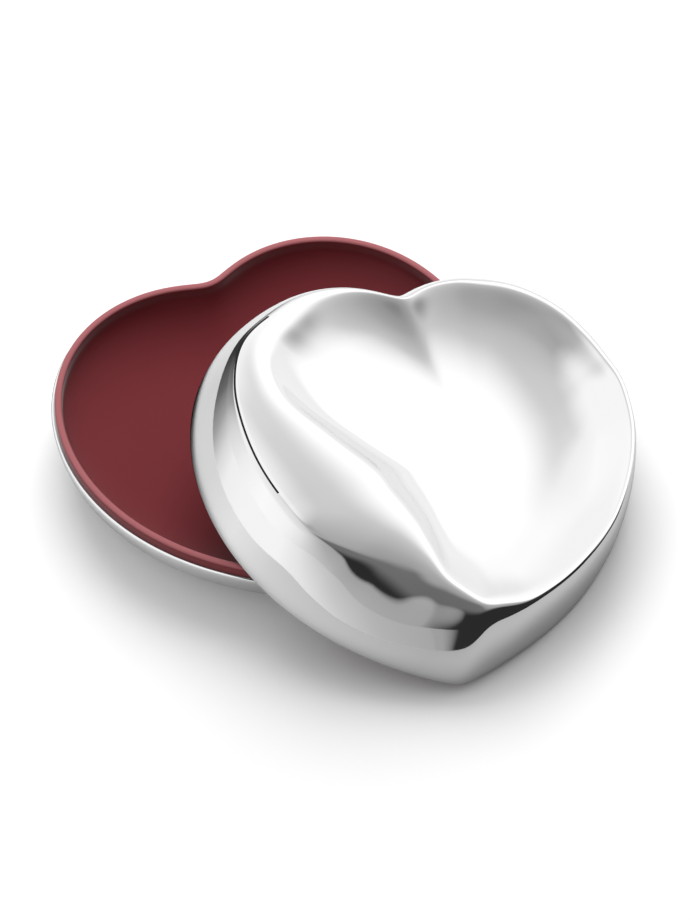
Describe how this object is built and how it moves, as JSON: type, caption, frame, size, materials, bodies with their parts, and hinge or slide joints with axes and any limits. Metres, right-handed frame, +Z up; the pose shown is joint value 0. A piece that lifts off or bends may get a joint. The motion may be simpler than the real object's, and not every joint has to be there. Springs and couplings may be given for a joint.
{
  "type": "heart-shaped box",
  "caption": "Open heart-shaped keepsake box of polished sheet metal with a red-lined bowl and a dished lid leaning on its rim.",
  "frame": {"origin": "on the surface that the box stands on, under the middle of the bowl's heart outline", "axes": "+Z up, out of the bowl's mouth; -Y towards the heart's point; +X to the right seen from the point"},
  "size_m": [0.1325, 0.1305, 0.0505],
  "materials": {
    "polished_steel": "mirror polished sheet metal",
    "red_moulding": "satin dark red",
    "dark_felt": "pressed felt",
    "bonding_foam": "matte foam tape"
  },
  "bodies": {
    "base": {"base_pad": "dark_felt", "base_shell": "polished_steel", "liner_pad_1": "bonding_foam", "liner_pad_2": "bonding_foam", "liner_pad_3": "bonding_foam", "base_liner": "red_moulding"},
    "lid": {"lid_shell": "polished_steel", "lid_liner": "red_moulding", "lid_pad": "bonding_foam"}
  },
  "joints": [
    {"name": "lid_lift", "type": "slide", "parent": "base", "child": "lid", "axis": [0, 0, 1], "range_m": [0, 0.06]}
  ]
}
